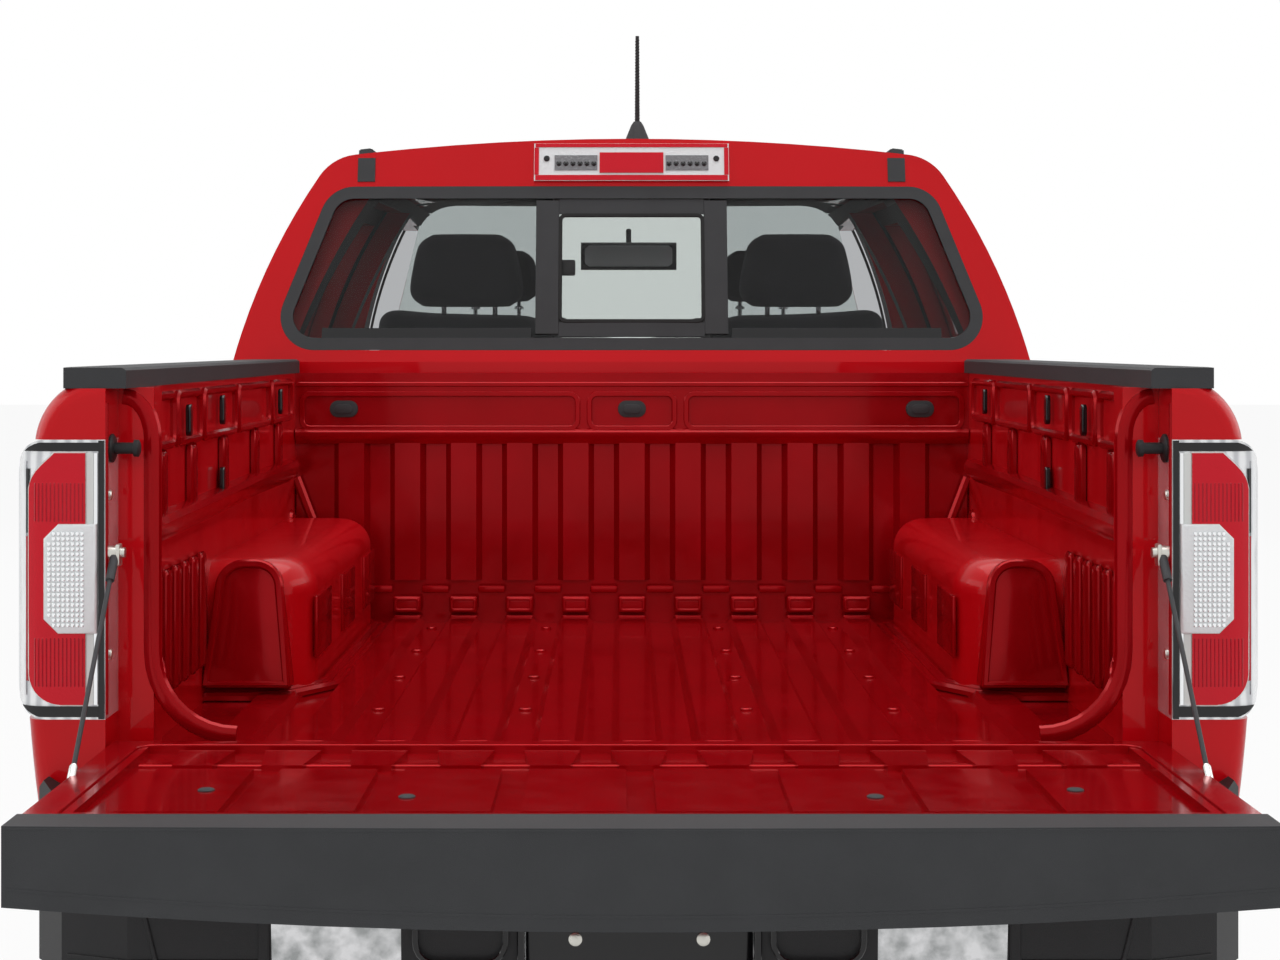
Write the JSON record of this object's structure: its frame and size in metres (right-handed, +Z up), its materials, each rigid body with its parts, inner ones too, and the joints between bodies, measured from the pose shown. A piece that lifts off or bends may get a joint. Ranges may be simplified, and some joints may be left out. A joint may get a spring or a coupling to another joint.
{
  "type": "pickup truck",
  "caption": "Mid-size crew-cab pickup truck with an open ribbed bed, a tailgate lowered on two cables, doors, a hood and steered wheels that move.",
  "frame": {"origin": "on the ground under the middle of the truck's length with its tailgate open, and on its middle plane", "axes": "+Y forward to the nose, +X to the truck's right, +Z up"},
  "size_m": [2.1334, 5.807, 2.077],
  "materials": {
    "body_paint": "bright red gloss paint",
    "rail_plastic": "dark grey grained plastic",
    "black_plastic": "black grained plastic",
    "bright_steel": "bright plated steel",
    "chassis_steel": "black coated steel",
    "wheel_alloy": "silver painted cast alloy",
    "tyre_rubber": "black tyre rubber",
    "seal_rubber": "black seal rubber",
    "dark_glass": "dark tinted glass",
    "clear_glass": "lightly tinted glass",
    "lamp_lens": "red and clear lens",
    "head_lens": "clear lens over bright reflectors",
    "seat_cloth": "dark grey woven cloth",
    "cable_steel": "black coated steel cable"
  },
  "bodies": {
    "root": {"aerial": "black_plastic", "arch_liners": "black_plastic", "bed_floor": "body_paint", "bed_front_wall": "body_paint", "bed_rail_caps": "rail_plastic", "bed_sides": "body_paint", "bumper_steps": "black_plastic", "cab_back": "body_paint", "cab_floor": "body_paint", "cab_roof": "body_paint", "cab_sides": "body_paint", "cab_trim": "black_plastic", "dashboard": "black_plastic", "door_seals": "seal_rubber", "exhaust": "chassis_steel", "frame": "chassis_steel", "front_bumper": "body_paint", "front_fenders": "body_paint", "front_seats": "seat_cloth", "front_structure": "chassis_steel", "fuel_tank": "black_plastic", "grille": "black_plastic", "headlamps": "head_lens", "high_brake_lamp": "lamp_lens", "inside_mirror": "black_plastic", "powertrain": "chassis_steel", "rear_axle": "chassis_steel", "rear_bench": "seat_cloth", "rear_bumper": "bright_steel", "rear_glass": "dark_glass", "rear_window_frame": "black_plastic", "suspension": "chassis_steel", "tail_lamps": "lamp_lens", "tailgate_cables": "cable_steel", "windscreen": "clear_glass"},
    "front_door_left_body": {"front_door_glass_left": "clear_glass", "front_door_left": "body_paint", "mirror_left": "body_paint"},
    "front_door_right_body": {"front_door_glass_right": "clear_glass", "front_door_right": "body_paint", "mirror_right": "body_paint"},
    "front_knuckle_left_body": {"front_knuckle_left": "chassis_steel"},
    "front_knuckle_right_body": {"front_knuckle_right": "chassis_steel"},
    "front_wheel_left_body": {"front_tyre_left": "tyre_rubber", "front_wheel_left": "wheel_alloy"},
    "front_wheel_right_body": {"front_tyre_right": "tyre_rubber", "front_wheel_right": "wheel_alloy"},
    "hood_body": {"hood": "body_paint"},
    "rear_door_left_body": {"rear_door_glass_left": "dark_glass", "rear_door_left": "body_paint"},
    "rear_door_right_body": {"rear_door_glass_right": "dark_glass", "rear_door_right": "body_paint"},
    "rear_wheel_left_body": {"rear_tyre_left": "tyre_rubber", "rear_wheel_left": "wheel_alloy"},
    "rear_wheel_right_body": {"rear_tyre_right": "tyre_rubber", "rear_wheel_right": "wheel_alloy"},
    "steering_wheel_body": {"steering_wheel": "black_plastic"},
    "tailgate_body": {"tailgate": "body_paint", "tailgate_cap": "rail_plastic"}
  },
  "joints": [
    {"name": "steer_left", "type": "hinge", "parent": "root", "child": "front_knuckle_left_body", "pos_m": [-0.722, 1.9935, 0.3815], "axis": [0, 0, 1], "range_deg": [-33, 33]},
    {"name": "steer_right", "type": "hinge", "parent": "root", "child": "front_knuckle_right_body", "pos_m": [0.722, 1.9935, 0.3815], "axis": [0, 0, 1], "range_deg": [-33, 33]},
    {"name": "spin_front_left", "type": "hinge", "parent": "front_knuckle_left_body", "child": "front_wheel_left_body", "pos_m": [-0.792, 1.9935, 0.3815], "axis": [1, 0, 0], "continuous": true},
    {"name": "spin_rear_left", "type": "hinge", "parent": "root", "child": "rear_wheel_left_body", "pos_m": [-0.792, -1.2605, 0.3815], "axis": [1, 0, 0], "continuous": true},
    {"name": "spin_front_right", "type": "hinge", "parent": "front_knuckle_right_body", "child": "front_wheel_right_body", "pos_m": [0.792, 1.9935, 0.3815], "axis": [1, 0, 0], "continuous": true},
    {"name": "spin_rear_right", "type": "hinge", "parent": "root", "child": "rear_wheel_right_body", "pos_m": [0.792, -1.2605, 0.3815], "axis": [1, 0, 0], "continuous": true},
    {"name": "front_door_left_hinge", "type": "hinge", "parent": "root", "child": "front_door_left_body", "pos_m": [-0.915, 1.3845, 0.885], "axis": [0, 0, -1], "range_deg": [0, 65]},
    {"name": "rear_door_left_hinge", "type": "hinge", "parent": "root", "child": "rear_door_left_body", "pos_m": [-0.915, 0.2995, 0.885], "axis": [0, 0, -1], "range_deg": [0, 65]},
    {"name": "front_door_right_hinge", "type": "hinge", "parent": "root", "child": "front_door_right_body", "pos_m": [0.915, 1.3845, 0.885], "axis": [0, 0, 1], "range_deg": [0, 65]},
    {"name": "rear_door_right_hinge", "type": "hinge", "parent": "root", "child": "rear_door_right_body", "pos_m": [0.915, 0.2995, 0.885], "axis": [0, 0, 1], "range_deg": [0, 65]},
    {"name": "hood_hinge", "type": "hinge", "parent": "root", "child": "hood_body", "pos_m": [0, 1.5295, 1.182], "axis": [1, 0, 0], "range_deg": [0, 50]},
    {"name": "tailgate_hinge", "type": "hinge", "parent": "root", "child": "tailgate_body", "pos_m": [0, -2.3405, 0.702], "axis": [-1, 0, 0], "range_deg": [0, 90], "deforming": ["tailgate_cables"]},
    {"name": "steering_wheel_turn", "type": "hinge", "parent": "root", "child": "steering_wheel_body", "pos_m": [-0.365, 0.9045, 1.07], "axis": [0, -0.9063, 0.4226], "range_deg": [-528, 528]}
  ],
  "couplings": [
    {"joint": "steer_right", "follows": "steer_left", "ratio": 1},
    {"joint": "steering_wheel_turn", "follows": "steer_left", "ratio": 16}
  ]
}
